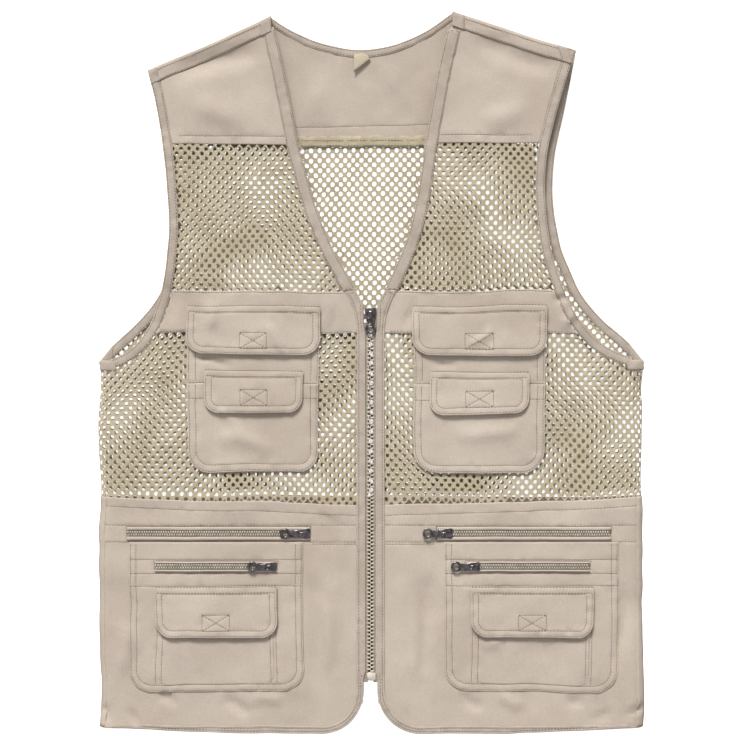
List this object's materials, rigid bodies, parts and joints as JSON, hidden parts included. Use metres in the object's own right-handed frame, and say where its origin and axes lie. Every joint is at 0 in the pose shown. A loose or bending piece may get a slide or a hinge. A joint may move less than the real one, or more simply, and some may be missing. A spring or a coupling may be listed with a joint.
{
  "type": "fishing vest",
  "caption": "Beige sleeveless fishing vest lying flat on its back: woven yokes and panels, net body, V neck, front zip, flap pockets with hook-and-loop patches and zipped cargo pockets.",
  "frame": {"origin": "centre of the overall box, on the surface the vest lies on", "axes": "+Y towards the collar, +Z out of the front of the vest, +X towards the wearer's left"},
  "size_m": [0.5268, 0.6968, 0.0176],
  "materials": {
    "woven_cloth": "matt",
    "net": "matt",
    "binding_tape": "matt",
    "cotton_tape": "matt",
    "zip_tape": "matt",
    "zip_teeth": "satin",
    "zip_coil": "satin",
    "dark_metal": "satin",
    "loop_fastener": "matt"
  },
  "bodies": {
    "vest": {"back_yoke": "woven_cloth", "back_mesh": "net", "back_lower_panel": "woven_cloth", "back_neck_binding": "binding_tape", "right_shoulder_yoke": "woven_cloth", "right_upper_mesh": "net", "right_neck_band": "binding_tape", "right_armhole_binding": "binding_tape", "right_side_seam": "woven_cloth", "left_shoulder_yoke": "woven_cloth", "left_upper_mesh": "net", "left_neck_band": "binding_tape", "left_armhole_binding": "binding_tape", "left_side_seam": "woven_cloth"},
    "hang_loop": {"hang_loop": "cotton_tape"},
    "right_front": {"right_chest_band": "woven_cloth", "right_lower_mesh": "net", "right_lower_panel": "woven_cloth", "right_placket": "binding_tape", "right_zip_tape": "zip_tape", "right_zip_teeth": "zip_teeth", "right_chest_pocket": "woven_cloth", "right_chest_pouch": "woven_cloth", "right_cargo_pocket": "woven_cloth", "right_cargo_pouch": "woven_cloth", "right_long_zip": "zip_coil", "right_short_zip": "zip_coil", "right_loop_patches": "loop_fastener", "zip_pin": "zip_teeth"},
    "right_chest_flap": {"right_chest_flap": "woven_cloth"},
    "right_pouch_flap": {"right_pouch_flap": "woven_cloth"},
    "right_cargo_flap": {"right_cargo_flap": "woven_cloth"},
    "right_long_slider": {"right_long_slider": "dark_metal"},
    "right_long_puller": {"right_long_puller": "dark_metal"},
    "right_short_slider": {"right_short_slider": "dark_metal"},
    "right_short_puller": {"right_short_puller": "dark_metal"},
    "left_front": {"left_chest_band": "woven_cloth", "left_lower_mesh": "net", "left_lower_panel": "woven_cloth", "left_placket": "binding_tape", "left_zip_tape": "zip_tape", "left_zip_teeth": "zip_teeth", "left_chest_pocket": "woven_cloth", "left_chest_pouch": "woven_cloth", "left_cargo_pocket": "woven_cloth", "left_cargo_pouch": "woven_cloth", "left_long_zip": "zip_coil", "left_short_zip": "zip_coil", "left_loop_patches": "loop_fastener", "zip_box": "zip_teeth"},
    "left_chest_flap": {"left_chest_flap": "woven_cloth"},
    "left_pouch_flap": {"left_pouch_flap": "woven_cloth"},
    "left_cargo_flap": {"left_cargo_flap": "woven_cloth"},
    "left_long_slider": {"left_long_slider": "dark_metal"},
    "left_long_puller": {"left_long_puller": "dark_metal"},
    "left_short_slider": {"left_short_slider": "dark_metal"},
    "left_short_puller": {"left_short_puller": "dark_metal"},
    "main_slider": {"main_slider": "dark_metal"},
    "main_puller": {"main_puller": "dark_metal"}
  },
  "joints": [
    {"name": "hang_loop_swing", "type": "hinge", "parent": "vest", "child": "hang_loop", "pos_m": [-0.0085, 0.3095, 0.0031], "axis": [1, 0, 0], "range_deg": [-150, 0]},
    {"name": "right_front_swing", "type": "hinge", "parent": "vest", "child": "right_front", "pos_m": [-0.25, 0, 0.0116], "axis": [0, -1, 0], "range_deg": [0, 60]},
    {"name": "right_chest_flap_lift", "type": "hinge", "parent": "right_front", "child": "right_chest_flap", "pos_m": [-0.1135, 0.0659, 0.0152], "axis": [1, 0, 0], "range_deg": [-160, 0]},
    {"name": "right_pouch_flap_lift", "type": "hinge", "parent": "right_front", "child": "right_pouch_flap", "pos_m": [-0.1135, 0.0024, 0.0162], "axis": [1, 0, 0], "range_deg": [-160, 0]},
    {"name": "right_cargo_flap_lift", "type": "hinge", "parent": "right_front", "child": "right_cargo_flap", "pos_m": [-0.149, -0.2056, 0.0162], "axis": [1, 0, 0], "range_deg": [-160, 0]},
    {"name": "right_long_zip_slide", "type": "slide", "parent": "right_front", "child": "right_long_slider", "axis": [1, 0, 0], "range_m": [-0.161, 0]},
    {"name": "right_long_puller_lift", "type": "hinge", "parent": "right_long_slider", "child": "right_long_puller", "pos_m": [-0.0658, -0.1537, 0.0154], "axis": [0, 1, 0], "range_deg": [0, 150]},
    {"name": "right_short_zip_slide", "type": "slide", "parent": "right_front", "child": "right_short_slider", "axis": [1, 0, 0], "range_m": [-0.104, 0]},
    {"name": "right_short_puller_lift", "type": "hinge", "parent": "right_short_slider", "child": "right_short_puller", "pos_m": [-0.097, -0.1855, 0.0166], "axis": [0, 1, 0], "range_deg": [0, 150]},
    {"name": "left_front_swing", "type": "hinge", "parent": "vest", "child": "left_front", "pos_m": [0.25, 0, 0.0116], "axis": [0, 1, 0], "range_deg": [0, 60]},
    {"name": "left_chest_flap_lift", "type": "hinge", "parent": "left_front", "child": "left_chest_flap", "pos_m": [0.1045, 0.0659, 0.0152], "axis": [1, 0, 0], "range_deg": [-160, 0]},
    {"name": "left_pouch_flap_lift", "type": "hinge", "parent": "left_front", "child": "left_pouch_flap", "pos_m": [0.1045, 0.0024, 0.0162], "axis": [1, 0, 0], "range_deg": [-160, 0]},
    {"name": "left_cargo_flap_lift", "type": "hinge", "parent": "left_front", "child": "left_cargo_flap", "pos_m": [0.155, -0.2056, 0.0162], "axis": [1, 0, 0], "range_deg": [-160, 0]},
    {"name": "left_long_zip_slide", "type": "slide", "parent": "left_front", "child": "left_long_slider", "axis": [-1, 0, 0], "range_m": [-0.152, 0]},
    {"name": "left_long_puller_lift", "type": "hinge", "parent": "left_long_slider", "child": "left_long_puller", "pos_m": [0.0718, -0.1537, 0.0154], "axis": [0, 1, 0], "range_deg": [0, 150]},
    {"name": "left_short_zip_slide", "type": "slide", "parent": "left_front", "child": "left_short_slider", "axis": [-1, 0, 0], "range_m": [-0.106, 0]},
    {"name": "left_short_puller_lift", "type": "hinge", "parent": "left_short_slider", "child": "left_short_puller", "pos_m": [0.099, -0.1855, 0.0166], "axis": [0, 1, 0], "range_deg": [0, 150]},
    {"name": "main_zip_slide", "type": "slide", "parent": "left_front", "child": "main_slider", "axis": [0, 1, 0], "range_m": [-0.336, 0]},
    {"name": "main_puller_lift", "type": "hinge", "parent": "main_slider", "child": "main_puller", "pos_m": [0, 0.0568, 0.0146], "axis": [-1, 0, 0], "range_deg": [0, 150]}
  ]
}
